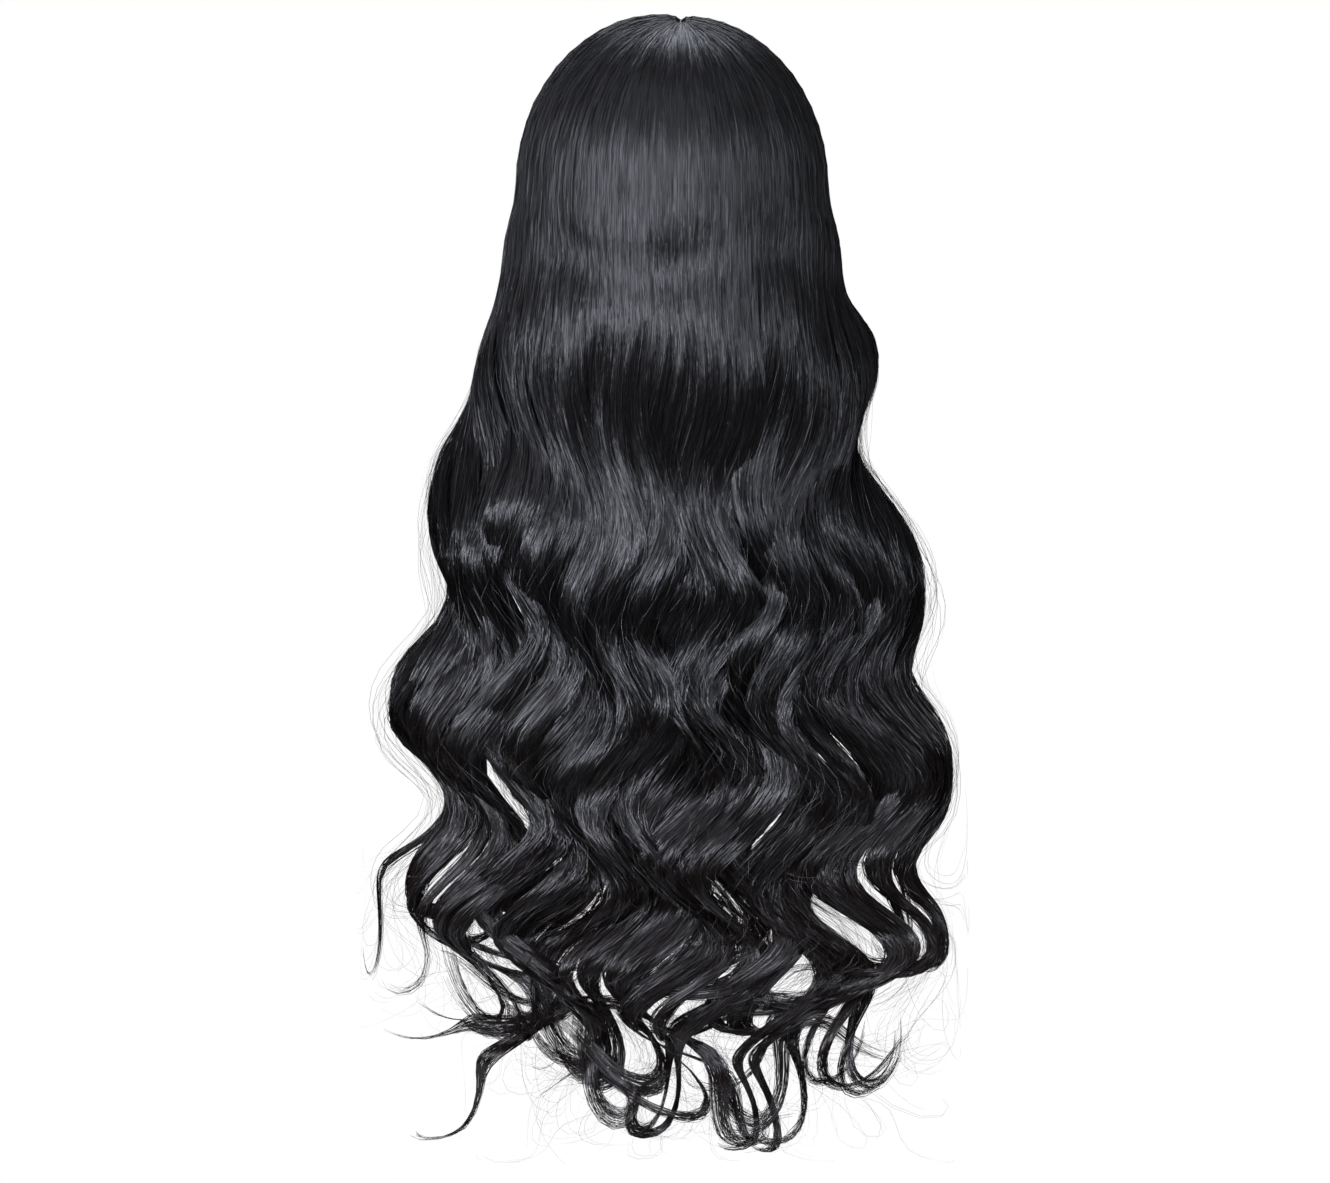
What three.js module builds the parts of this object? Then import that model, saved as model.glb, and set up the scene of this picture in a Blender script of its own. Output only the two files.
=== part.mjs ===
// Lace front wig: a net cap with a lace front, two ear tabs and a nape band,
// and long black body-wave hair in tresses that fall from a short parting.
// Millimetres, +Z up. The face looks along -Y, the wearer's left is +X.
// The origin is the inside top of the cap, where it sits on the head.
import * as THREE from 'three';
import { mergeVertices } from 'three/addons/utils/BufferGeometryUtils.js';

// cap, made for an adult head
const headBreadth = 154;
const headLength = 194;
const crownHeight = 95; // inside top down to the widest level
const capWall = 1.5;
const laceWall = 1;
const bandWall = 1.8;
const tabWall = 1.5;
const laceDepth = 40; // at the middle of the forehead
const laceDepthEar = 14;
const bandWidth = 12;
const tabWidth = 22;
const tabLength = 26;
const seamGap = 0.4;
const capColumns = 48;

// parting: a short line a little to the wearer's right
const partingShift = -5;
const partingGap = 3;
const partingEnd = 25; // behind the middle of the head

// hair
const hairDepthTop = 6.5; // over the cap beside the parting
const hairDepthSide = 16; // over the cap at its widest level
const rootClearance = 1.6; // under the flat faces of the locks
const seatClearance = 0.9; // between the lower wefts and the cap
const fallLength = 563; // widest level down to the longest tip
const fallHalfWidth = 168;
const layerDepth = 10;
const layerGap = 1.7;
const swingWidth = 18; // sideways wave at the tips
const swingDepth = 8; // wave towards and away from the back
const tipCurl = 7;

const degrees = THREE.MathUtils.degToRad;
const mix = THREE.MathUtils.lerp;
const ramp = THREE.MathUtils.smoothstep;

const halfBreadth = headBreadth / 2;
const halfLength = headLength / 2;
const outerHalfWidth = halfBreadth + capWall + hairDepthSide;
const outerHalfDepth = halfLength + capWall + hairDepthSide;

// lower edge of the whole cap: degrees from the top, by degrees from the middle of the back
const rimRows = [
  { azimuth: -30, polar: 135 }, { azimuth: 0, polar: 138 }, { azimuth: 30, polar: 135 },
  { azimuth: 55, polar: 125 }, { azimuth: 72, polar: 110 }, { azimuth: 88, polar: 94 },
  { azimuth: 100, polar: 92 }, { azimuth: 110, polar: 94 }, { azimuth: 118, polar: 92 },
  { azimuth: 123, polar: 80 }, { azimuth: 132, polar: 68 }, { azimuth: 146, polar: 61 },
  { azimuth: 164, polar: 60 }, { azimuth: 180, polar: 63 }, { azimuth: 196, polar: 60 },
];

// the falling hair as half an oval at each height: drop is the share of fallLength,
// spread goes from the head's width to fallHalfWidth, depth and back are shares of
// the hair's half depth at the head and of the head's half length, edge is in degrees
const fallRows = [
  { drop: 0, spread: 0, depth: 1, back: 0, edge: 118 },
  { drop: 0.057, spread: 0.09, depth: 1.045, back: 0, edge: 115 },
  { drop: 0.12, spread: 0.15, depth: 1.03, back: 0.03, edge: 112 },
  { drop: 0.185, spread: 0.3, depth: 0.952, back: 0.1, edge: 107 },
  { drop: 0.25, spread: 0.42, depth: 0.82, back: 0.23, edge: 101 },
  { drop: 0.345, spread: 0.62, depth: 0.64, back: 0.41, edge: 92 },
  { drop: 0.453, spread: 0.76, depth: 0.53, back: 0.54, edge: 86 },
  { drop: 0.6, spread: 0.93, depth: 0.48, back: 0.59, edge: 84 },
  { drop: 0.755, spread: 1, depth: 0.437, back: 0.6, edge: 82 },
  { drop: 0.9, spread: 0.93, depth: 0.4, back: 0.6, edge: 80 },
  { drop: 1, spread: 0.79, depth: 0.367, back: 0.6, edge: 78 },
];

// waves counted down the hair: the left edge swings out at each whole turn
const waveRows = [
  { drop: 0, turns: -0.4 }, { drop: 0.098, turns: 0 }, { drop: 0.345, turns: 1 },
  { drop: 0.551, turns: 2 }, { drop: 0.755, turns: 3 }, { drop: 0.96, turns: 4 },
  { drop: 1.05, turns: 4.45 },
];

// the tresses from the wearer's left to right: where each wave starts, as a share of
// a turn, how far each tip reaches down, and which way it curls
const tressRows = [
  { phase: 0, tip: 0.86, curl: 0.7 }, { phase: 0.08, tip: 0.82, curl: -0.6 },
  { phase: 0.16, tip: 0.9, curl: -0.9 }, { phase: 0.24, tip: 0.93, curl: 0.8 },
  { phase: 0.33, tip: 0.96, curl: -0.8 }, { phase: 0.42, tip: 0.98, curl: 0.9 },
  { phase: 0.52, tip: 1, curl: 0.6 }, { phase: 0.62, tip: 0.97, curl: -0.7 },
  { phase: 0.72, tip: 1, curl: -0.9 }, { phase: 0.8, tip: 0.98, curl: 0.8 },
  { phase: 0.86, tip: 0.96, curl: -0.6 }, { phase: 0.9, tip: 0.94, curl: 0.9 },
  { phase: 0.92, tip: 0.95, curl: -0.8 }, { phase: 0.92, tip: 0.92, curl: 0.7 },
  { phase: 0.9, tip: 0.88, curl: 0.8 }, { phase: 0.87, tip: 0.84, curl: -0.7 },
];

// a tress grows from a wedge on the crown to a lock of its layer: its width is a share
// of its place in the row, and flat is the share of that width which its faces keep
const tressRings = [
  { drop: 0, width: 0.96, flat: 0.9 }, { drop: 0.13, width: 0.96, flat: 0.84 },
  { drop: 0.3, width: 1.4, flat: 0.66 }, { drop: 0.8, width: 1.3, flat: 0.6 },
  { drop: 1.05, width: 1, flat: 0.6 },
];

// six corners of every lock, across its width and through its depth from the outside
function lockCorners(flat) {
  return [
    { across: 1, through: 0.5 }, { across: flat, through: 1 }, { across: -flat, through: 1 },
    { across: -1, through: 0.5 }, { across: -flat, through: 0 }, { across: flat, through: 0 },
  ];
}

const fallSteps = 31; // sections down the whole fall, at the same heights in every lock
const underCount = 8;
const underStart = 0.068; // share of fallLength where the lower wefts begin
const underShare = 0.5; // of the hair's width, in the middle of the back

// a smooth curve through one column of a table
function curve(rows, key, column) {
  const keys = rows.map((row) => row[key]);
  const values = rows.map((row) => row[column]);
  const interpolant = new THREE.CubicInterpolant(keys, values, 1, [0]);
  return (at) => interpolant.evaluate(THREE.MathUtils.clamp(at, keys[0], keys.at(-1)))[0];
}

const rimPolar = curve(rimRows, 'azimuth', 'polar');
const fallCurves = Object.fromEntries(
  ['spread', 'depth', 'back', 'edge'].map((column) => [column, curve(fallRows, 'drop', column)]),
);
const waveTurns = curve(waveRows, 'drop', 'turns');
const lockWidth = curve(tressRings, 'drop', 'width');
const lockFlat = curve(tressRings, 'drop', 'flat');
const wavePhase = curve(
  tressRows.map((row, index) => ({ share: (index + 0.5) / tressRows.length, phase: row.phase })),
  'share', 'phase',
);

// a point over the head, off its surface by a wall or a clearance
function headPoint(azimuth, polar, offset) {
  const a = degrees(azimuth);
  const p = degrees(polar);
  return new THREE.Vector3(
    (halfBreadth + offset) * Math.sin(p) * Math.sin(a),
    (halfLength + offset) * Math.sin(p) * Math.cos(a),
    -crownHeight + (crownHeight + offset) * Math.cos(p),
  );
}

// degrees on the head that a length over its surface takes
function lengthToDegrees(length, azimuth) {
  const a = degrees(azimuth);
  const planRadius = Math.hypot(halfBreadth * Math.sin(a), halfLength * Math.cos(a));
  return THREE.MathUtils.radToDeg(length / ((planRadius + crownHeight) / 2));
}

function rim(azimuth) {
  return rimPolar(Math.abs(azimuth));
}

// columns round the cap, which the lace and the band share so that their seams run true
const columnStep = 360 / capColumns;
const bandReach = 10 * columnStep;
const laceReach = 14 * columnStep;

function bandWidthAt(azimuth) {
  const reach = Math.abs(azimuth);
  if (reach > bandReach + columnStep / 2) return 0;
  return bandWidth * mix(1, 0.5, ramp(reach, bandReach - 2 * columnStep, bandReach));
}

function laceDepthAt(azimuth) {
  const reach = Math.abs(azimuth);
  if (reach < laceReach - columnStep / 2) return 0;
  return mix(laceDepthEar, laceDepth, ramp(reach, laceReach, 165));
}

function capEdge(azimuth) {
  const taken = bandWidthAt(azimuth) + laceDepthAt(azimuth);
  return rim(azimuth) - lengthToDegrees(taken, azimuth);
}

// closed outward solid from a row of sections with as many corners each; both ends are
// closed by a ladder from the section's first half to its second
function loft(name, sections, color) {
  const corners = sections[0].length;
  const order = [];
  const quad = (p, q, r, s) => order.push(p, q, s, q, r, s);
  for (let i = 0; i < sections.length - 1; i += 1) {
    for (let j = 0; j < corners; j += 1) {
      const next = (j + 1) % corners;
      quad(i * corners + j, i * corners + next, (i + 1) * corners + next, (i + 1) * corners + j);
    }
  }
  const last = (sections.length - 1) * corners;
  for (let k = 0; k < corners / 2 - 1; k += 1) {
    quad(k, corners - 1 - k, corners - 2 - k, k + 1);
    quad(last + k, last + k + 1, last + corners - 2 - k, last + corners - 1 - k);
  }
  const raw = new THREE.BufferGeometry().setFromPoints(sections.flat());
  raw.setIndex(order);
  const solid = mergeVertices(raw, 1e-3);
  solid.setIndex(wholeTriangles(solid.index.array));
  if (signedVolume(solid) < 0) solid.setIndex([...solid.index.array].reverse());
  solid.computeVertexNormals();
  const mesh = new THREE.Mesh(solid, new THREE.MeshStandardMaterial({ color, roughness: 0.6 }));
  mesh.name = name;
  return mesh;
}

// the triangles that keep three corners where a ring runs to a point
function wholeTriangles(order) {
  const kept = [];
  for (let i = 0; i < order.length; i += 3) {
    const [a, b, c] = order.slice(i, i + 3);
    if (a !== b && b !== c && c !== a) kept.push(a, b, c);
  }
  return kept;
}

function signedVolume(geometry) {
  const positions = geometry.attributes.position;
  const order = geometry.index.array;
  const corners = [new THREE.Vector3(), new THREE.Vector3(), new THREE.Vector3()];
  let volume = 0;
  for (let i = 0; i < order.length; i += 3) {
    corners.forEach((corner, k) => corner.fromBufferAttribute(positions, order[i + k]));
    volume += corners[0].dot(corners[1].clone().cross(corners[2])) / 6;
  }
  return volume;
}

function makeCap() {
  const azimuths = Array.from({ length: capColumns }, (_, i) => -180 + i * columnStep);
  const ring = (share, offset) => azimuths.map((a) => headPoint(a, capEdge(a) * share, offset));
  const shares = [0, 0.14, 0.28, 0.43, 0.58, 0.72, 0.86, 1];
  const outside = shares.map((share) => ring(share, capWall));
  const inside = shares.map((share) => ring(share, 0)).reverse();
  return loft('cap', [...outside, ...inside], '#26262a');
}

// a strip of the cap's surface between two edges, from one azimuth to another
function strip(name, from, to, steps, upper, lower, wall, rows, color) {
  const sections = [];
  for (let i = 0; i <= steps; i += 1) {
    const azimuth = mix(from, to, i / steps);
    const polars = Array.from({ length: rows + 1 }, (_, k) => mix(upper(azimuth), lower(azimuth), k / rows));
    sections.push([
      ...polars.map((polar) => headPoint(azimuth, polar, wall)),
      ...polars.map((polar) => headPoint(azimuth, polar, 0)).reverse(),
    ]);
  }
  return loft(name, sections, color);
}

function makeLaceFront() {
  const steps = Math.round((360 - 2 * laceReach) / columnStep);
  const folded = (azimuth) => (azimuth > 180 ? azimuth - 360 : azimuth);
  return strip(
    'lace_front', laceReach, 360 - laceReach, steps,
    (a) => capEdge(folded(a)) + lengthToDegrees(seamGap, a), (a) => rim(folded(a)),
    laceWall, 3, '#9b8f86',
  );
}

function makeNapeBand() {
  return strip(
    'nape_band', -bandReach, bandReach, Math.round((2 * bandReach) / columnStep),
    (a) => capEdge(a) + lengthToDegrees(seamGap, a), rim, bandWall, 2, '#1b1b1d',
  );
}

// tongue of net in front of the ear, below the lace's end
function makeEarTab(name, side) {
  const tabRows = [
    { down: 0, width: 1 }, { down: 0.35, width: 0.9 }, { down: 0.7, width: 0.72 },
    { down: 0.92, width: 0.46 }, { down: 1, width: 0.2 },
  ];
  const halfDegrees = lengthToDegrees(tabWidth / 2, laceReach);
  const sections = tabRows.map((row) => {
    const azimuths = [-1, 0, 1].map((across) => laceReach + across * row.width * halfDegrees);
    const at = (azimuth, wall) => headPoint(
      side * azimuth,
      rim(azimuth) + lengthToDegrees(seamGap + row.down * tabLength, azimuth),
      wall,
    );
    return [...azimuths.map((a) => at(a, tabWall)), ...azimuths.map((a) => at(a, 0)).reverse()];
  });
  return loft(name, sections, '#2b2b30');
}

// where a hair starts beside the parting, by its place from left (0) to right (1)
function rootPoint(share) {
  const front = -halfLength * Math.sin(degrees(58));
  const fanShare = 0.21;
  const side = share < 0.5 ? 1 : -1;
  const fromMiddle = Math.abs(share - 0.5);
  const half = partingGap / 2;
  if (fromMiddle > fanShare) {
    const along = (fromMiddle - fanShare) / (0.5 - fanShare);
    return new THREE.Vector2(partingShift + side * half, mix(partingEnd, front, along));
  }
  const turn = (fromMiddle / fanShare) * (Math.PI / 2);
  return new THREE.Vector2(partingShift + side * half * Math.sin(turn), partingEnd + half * Math.cos(turn));
}

const levels = new Map();

// the oval of the hair's outside at one drop
function level(drop) {
  if (!levels.has(drop)) {
    const width = mix(outerHalfWidth, fallHalfWidth, fallCurves.spread(drop));
    const depth = outerHalfDepth * fallCurves.depth(drop);
    const edge = degrees(fallCurves.edge(drop));
    const arc = new THREE.EllipseCurve(0, 0, width, depth, Math.PI / 2 - edge, Math.PI / 2 + edge);
    levels.set(drop, { width, depth, centre: halfLength * fallCurves.back(drop), arc });
  }
  return levels.get(drop);
}

// direction from the middle of the oval to a share of its length
function direction(share, drop) {
  const { width, depth, arc } = level(drop);
  const point = arc.getPointAt(THREE.MathUtils.clamp(share, 0, 1));
  return new THREE.Vector2(point.x / width, point.y / depth);
}

// hair on the head: from the parting (0 degrees) to the widest level (90)
function crownPoint(share, turn, through) {
  const root = rootPoint(share).divide(new THREE.Vector2(halfBreadth, halfLength));
  const reach = Math.sin(degrees(turn));
  const flat = root.lerp(direction(share, 0), reach);
  const rise = Math.sqrt(Math.max(0, 1 - flat.lengthSq()));
  const outer = mix(hairDepthTop, hairDepthSide, reach);
  const offset = capWall + mix(outer, rootClearance, through);
  return new THREE.Vector3(
    flat.x * (halfBreadth + offset),
    flat.y * (halfLength + offset),
    -crownHeight + rise * (crownHeight + offset),
  );
}

function swing(share, drop) {
  const grown = Math.max(0, (drop - 0.09) / 0.91) ** 0.85;
  return swingWidth * grown * Math.cos(2 * Math.PI * (waveTurns(drop) - wavePhase(share)));
}

function billow(drop) {
  const grown = Math.min(1, Math.max(0, (drop - 0.12) / 0.5)) ** 0.7;
  return swingDepth * grown * Math.cos(2 * Math.PI * (waveTurns(drop) - 0.3));
}

// falling hair: depth is how far a point lies in from the outside of the hair
function fallPoint(share, drop, depth) {
  const oval = level(drop);
  const out = direction(share, drop);
  return new THREE.Vector3(
    out.x * (oval.width - depth) + swing(share, drop),
    oval.centre + out.y * (oval.depth - depth) + billow(drop),
    -crownHeight - fallLength * drop,
  );
}

// how much of a lock is left near its tip
function taper(drop, tip) {
  const thinned = THREE.MathUtils.clamp((drop - (tip - 0.2)) / 0.2, 0, 1);
  return Math.max(0.05, 1 - thinned ** 1.7);
}

function curl(drop, tip, way) {
  const bent = THREE.MathUtils.clamp((drop - (tip - 0.08)) / 0.08, 0, 1);
  return tipCurl * way * bent * bent;
}

// the heights of a lock's sections, shared by its neighbours, and its own two ends
function lockDrops(start, tip) {
  const shared = Array.from({ length: fallSteps }, (_, i) => i / fallSteps);
  const margin = 0.4 / fallSteps;
  return [start, ...shared.filter((drop) => drop > start + margin && drop < tip - margin), tip];
}

// one lock's section at a drop: its middle share, half its width as a share, its depths
function lockRing(middle, half, drop, outer, inner, row) {
  const left = taper(drop, row.tip);
  const centre = (outer + inner) / 2;
  return lockCorners(lockFlat(drop)).map((corner) => {
    const depth = centre + (mix(outer, inner, corner.through) - centre) * left;
    const point = fallPoint(middle + corner.across * half * left, drop, depth);
    point.x += curl(drop, row.tip, row.curl);
    return point;
  });
}

function makeTress(index) {
  const row = tressRows[index];
  const pitch = 1 / tressRows.length;
  const middle = (index + 0.5) * pitch;
  const sections = [];
  for (const turn of [1.5, 10, 21, 33, 45, 57, 69, 80]) {
    const half = (pitch / 2) * lockWidth(0);
    sections.push(
      lockCorners(lockFlat(0)).map((c) => crownPoint(middle + c.across * half, turn, c.through)),
    );
  }
  const headDepth = hairDepthSide - rootClearance;
  const layerStart = index % 2 === 0 ? 0 : layerDepth + layerGap;
  for (const drop of lockDrops(0, row.tip)) {
    const apart = ramp(drop, 0.01, 0.13);
    const outer = mix(0, layerStart, apart);
    const inner = mix(headDepth, layerStart + layerDepth, apart);
    sections.push(lockRing(middle, (pitch / 2) * lockWidth(drop), drop, outer, inner, row));
  }
  return loft(`tress_${String(index + 1).padStart(2, '0')}`, sections, index % 2 ? '#2a2a2e' : '#37373d');
}

// the deepest a lower lock may lie and still clear the cap
function clearDepth(share, drop, wanted) {
  let depth = wanted;
  const room = capWall + seatClearance;
  for (; depth > 0; depth -= 0.1) {
    const point = fallPoint(share, drop, depth);
    const size = Math.hypot(
      point.x / (halfBreadth + room),
      point.y / (halfLength + room),
      (point.z + crownHeight) / (crownHeight + room),
    );
    if (size > 1) break;
  }
  return depth;
}

function makeUnderTress(index) {
  const pitch = underShare / underCount;
  const middle = (1 - underShare) / 2 + (index + 0.5) * pitch;
  const row = tressRows[Math.min(tressRows.length - 1, Math.floor(middle * tressRows.length))];
  const lowerRow = { tip: row.tip * 0.95, curl: 0.5 };
  const outer = 2 * (layerDepth + layerGap);
  const half = (pitch / 2) * 0.97;
  const sections = lockDrops(underStart, lowerRow.tip).map((drop) => {
    const grown = mix(0.35, 1, ramp(drop, underStart, underStart + 0.1));
    const inner = clearDepth(middle, drop, outer + layerDepth * grown);
    return lockRing(middle, half, drop, Math.min(outer, inner - 1), inner, lowerRow);
  });
  return loft(`under_tress_${index + 1}`, sections, '#232327');
}

const wig = new THREE.Group();
wig.name = 'lace_front_wig';
wig.add(makeCap(), makeLaceFront(), makeEarTab('ear_tab_left', 1), makeEarTab('ear_tab_right', -1), makeNapeBand());
for (let index = 0; index < tressRows.length; index += 1) wig.add(makeTress(index));
for (let index = 0; index < underCount; index += 1) wig.add(makeUnderTress(index));

export default wig;
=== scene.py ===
# Lace front wig: a net cap, lace front, ear tabs and nape band under black body-wave hair.
# Everything is in metres in the part's own frame: +Z up, the face looks along -Y.
# The hair is worked out in millimetres, and turned to metres as its meshes are built.
import math
import bpy
import numpy as np
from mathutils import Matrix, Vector


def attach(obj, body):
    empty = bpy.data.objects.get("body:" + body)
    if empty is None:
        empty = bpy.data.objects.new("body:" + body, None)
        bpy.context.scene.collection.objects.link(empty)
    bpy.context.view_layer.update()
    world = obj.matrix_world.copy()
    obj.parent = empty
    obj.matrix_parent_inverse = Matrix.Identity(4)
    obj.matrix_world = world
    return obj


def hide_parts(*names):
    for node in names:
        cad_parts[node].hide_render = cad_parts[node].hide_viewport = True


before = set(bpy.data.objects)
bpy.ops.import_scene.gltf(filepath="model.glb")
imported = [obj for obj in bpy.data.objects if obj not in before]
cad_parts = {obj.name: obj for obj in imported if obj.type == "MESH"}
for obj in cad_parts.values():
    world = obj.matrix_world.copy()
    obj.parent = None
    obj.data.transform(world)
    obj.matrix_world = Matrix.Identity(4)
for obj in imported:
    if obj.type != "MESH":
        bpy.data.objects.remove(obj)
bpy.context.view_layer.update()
print("frame loaded")

# the view: the photograph looks at the back of the wig, a little from above

viewSettings = {
    "aim": (0.0042, 0.06, -0.338),
    "distance": 6.0,
    "elevation": 2.0,  # degrees
    "widthSeen": 0.798,  # metres across the picture at the hair
    "sensor": 36,  # mm
    "clip": (0.1, 100),
}


def makeCamera():
    look = viewSettings
    tilt = math.radians(look["elevation"])
    back = Vector((0, math.cos(tilt), math.sin(tilt)))
    data = bpy.data.cameras.new("camera")
    data.sensor_width = look["sensor"]
    data.lens = look["sensor"] * look["distance"] / look["widthSeen"]
    data.clip_start, data.clip_end = look["clip"]
    camera = bpy.data.objects.new("camera", data)
    bpy.context.collection.objects.link(camera)
    camera.location = Vector(look["aim"]) + back * look["distance"]
    camera.rotation_mode = "QUATERNION"
    camera.rotation_quaternion = (-back).to_track_quat("-Z", "Y")
    bpy.context.scene.camera = camera


makeCamera()

# materials


def fromHex(text):
    parts = [int(text[i:i + 2], 16) / 255 for i in (1, 3, 5)]
    return [c / 12.92 if c <= 0.04045 else ((c + 0.055) / 1.055) ** 2.4 for c in parts] + [1.0]


def addNode(tree, kind, settings=None, inputs=None, links=None):
    node = tree.nodes.new(kind)
    for key, value in (settings or {}).items():
        setattr(node, key, value)
    for key, value in (inputs or {}).items():
        node.inputs[key].default_value = value
    for key, (source, output) in (links or {}).items():
        tree.links.new(source.outputs[output], node.inputs[key])
    return node


def newMaterial(name, inputs):
    material = bpy.data.materials.new(name)
    material.use_nodes = True
    tree = material.node_tree
    tree.nodes.clear()
    shader = addNode(tree, "ShaderNodeBsdfPrincipled", inputs=inputs)
    addNode(tree, "ShaderNodeOutputMaterial", links={"Surface": (shader, "BSDF")})
    return material, tree, shader


def fillRamp(node, stops):
    ramp = node.color_ramp
    while len(ramp.elements) > 1:
        ramp.elements.remove(ramp.elements[0])
    ramp.elements[0].position, ramp.elements[0].color = stops[0]
    for position, colour in stops[1:]:
        ramp.elements.new(position).color = colour


# the X of a strand's UV map holds its own whole number, and Y runs down it, from -0.2 to 0 over
# the head and on to 1 at its tip

hairLook = {
    "root": "#070708",
    "middle": "#080707",
    "tip": "#1e1410",
    "light": "#141112",  # the palest strands
    "paleness": 3.0,  # the higher, the fewer are pale
    "ior": 1.55,
    "roughness": 0.28,
    "uneven": (-0.04, 0.12),  # how much smoother or rougher than that one strand is
    "rootRoughness": 0.2,  # added over the head, and gone half way down the fall
    "anisotropy": 0.6,
    # bumps that break up the sheen: single strands first, then strands that cling together in
    # broad and in fine streaks. Noise steps from one strand to the next, noise steps down a
    # strand, detail, strength and height in metres
    "bumps": ((7.31, 34.0, 2.0, 0.9, 0.0014), (0.03, 7.0, 0.5, 1.0, 0.009), (0.2, 9.0, 0.5, 1.0, 0.0075)),
}


def makeHairFibre():
    # human hair dyed black: smooth scales give a soft sheen across the fibres, which are
    # nearly neutral at the root and a little brown where they thin at the tip
    look = hairLook
    material, tree, shader = newMaterial("humanHairFibre", {
        "Roughness": look["roughness"], "IOR": look["ior"], "Anisotropic": look["anisotropy"],
    })
    uv = addNode(tree, "ShaderNodeUVMap", {"uv_map": "strand"})
    split = addNode(tree, "ShaderNodeSeparateXYZ", links={"Vector": (uv, "UV")})
    number = addNode(tree, "ShaderNodeMath", {"operation": "FLOOR"}, links={0: (split, "X")})
    chance = addNode(tree, "ShaderNodeTexWhiteNoise", {"noise_dimensions": "1D"},
                     links={"W": (number, "Value")})
    along = addNode(tree, "ShaderNodeValToRGB", links={"Fac": (split, "Y")})
    fillRamp(along, [
        (0.0, fromHex(look["root"])), (0.5, fromHex(look["middle"])), (1.0, fromHex(look["tip"]))])
    lift = addNode(tree, "ShaderNodeMath", {"operation": "POWER"}, {1: look["paleness"]},
                   {0: (chance, "Value")})
    tone = addNode(tree, "ShaderNodeMix", {"data_type": "RGBA"}, {7: fromHex(look["light"])},
                   {0: (lift, "Value"), 6: (along, "Color")})
    tree.links.new(tone.outputs[2], shader.inputs["Base Color"])
    low, high = look["uneven"]
    smooth = addNode(tree, "ShaderNodeMapRange", {},
                     {"From Max": 0.5, "To Min": look["rootRoughness"], "To Max": 0.0},
                     {"Value": (split, "Y")})
    spread = addNode(tree, "ShaderNodeMath", {"operation": "MULTIPLY_ADD"},
                     {1: high - low, 2: look["roughness"] + low}, {0: (chance, "Value")})
    total = addNode(tree, "ShaderNodeMath", {"operation": "ADD"},
                    links={0: (spread, "Value"), 1: (smooth, "Result")})
    tree.links.new(total.outputs["Value"], shader.inputs["Roughness"])
    bump = None
    for across, down, detail, strength, height in look["bumps"]:
        beside = addNode(tree, "ShaderNodeMath", {"operation": "MULTIPLY"}, {1: across},
                         {0: (number, "Value")})
        below = addNode(tree, "ShaderNodeMath", {"operation": "MULTIPLY"}, {1: down}, {0: (split, "Y")})
        spot = addNode(tree, "ShaderNodeCombineXYZ", links={"X": (beside, "Value"), "Y": (below, "Value")})
        noise = addNode(tree, "ShaderNodeTexNoise", {"noise_dimensions": "2D"},
                        {"Scale": 1.0, "Detail": detail}, {"Vector": (spot, "Vector")})
        links = {"Height": (noise, "Fac")}
        if bump:
            links["Normal"] = (bump, "Normal")
        bump = addNode(tree, "ShaderNodeBump", {}, {"Strength": strength, "Distance": height}, links)
    tree.links.new(bump.outputs["Normal"], shader.inputs["Normal"])
    tangent = addNode(tree, "ShaderNodeTangent", {"direction_type": "UV_MAP", "uv_map": "strand"})
    tree.links.new(tangent.outputs["Tangent"], shader.inputs["Tangent"])
    return material


massLook = {
    "dark": "#080808", "streak": "#121113",
    "roughness": 0.5, "ior": 1.45, "anisotropy": 0.6,
    "streaks": (60.0, 2.5, 1.0),  # across and along the core
    "height": 0.0006,  # metres
}


def makeHairMass():
    # the same hair deep in a lock, where the fibres lie close: dark, with fine streaks along it
    look = massLook
    material, tree, shader = newMaterial("humanHairMass", {
        "Roughness": look["roughness"], "IOR": look["ior"], "Anisotropic": look["anisotropy"],
    })
    uv = addNode(tree, "ShaderNodeUVMap", {"uv_map": "strand"})
    stretch = addNode(tree, "ShaderNodeMapping", {}, {"Scale": look["streaks"]}, {"Vector": (uv, "UV")})
    streaks = addNode(tree, "ShaderNodeTexNoise", {}, {"Scale": 1.0, "Detail": 5.0},
                      {"Vector": (stretch, "Vector")})
    tone = addNode(tree, "ShaderNodeValToRGB", links={"Fac": (streaks, "Fac")})
    fillRamp(tone, [(0.35, fromHex(look["dark"])), (0.7, fromHex(look["streak"]))])
    tree.links.new(tone.outputs["Color"], shader.inputs["Base Color"])
    bump = addNode(tree, "ShaderNodeBump", {}, {"Strength": 0.5, "Distance": look["height"]},
                   {"Height": (streaks, "Fac")})
    tree.links.new(bump.outputs["Normal"], shader.inputs["Normal"])
    tangent = addNode(tree, "ShaderNodeTangent", {"direction_type": "UV_MAP", "uv_map": "strand"})
    tree.links.new(tangent.outputs["Tangent"], shader.inputs["Tangent"])
    return material


hairFibre = makeHairFibre()
hairMass = makeHairMass()
print("hair materials made")

# the form of the hair, in millimetres, as the cap and the solids have it. A share runs from 0 at
# the wearer's left to 1 at the right, and a drop from 0 at the head's widest level to 1 at the tips

head = {"halfBreadth": 77.0, "halfLength": 97.0, "crownHeight": 95.0, "capWall": 1.5}

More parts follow.
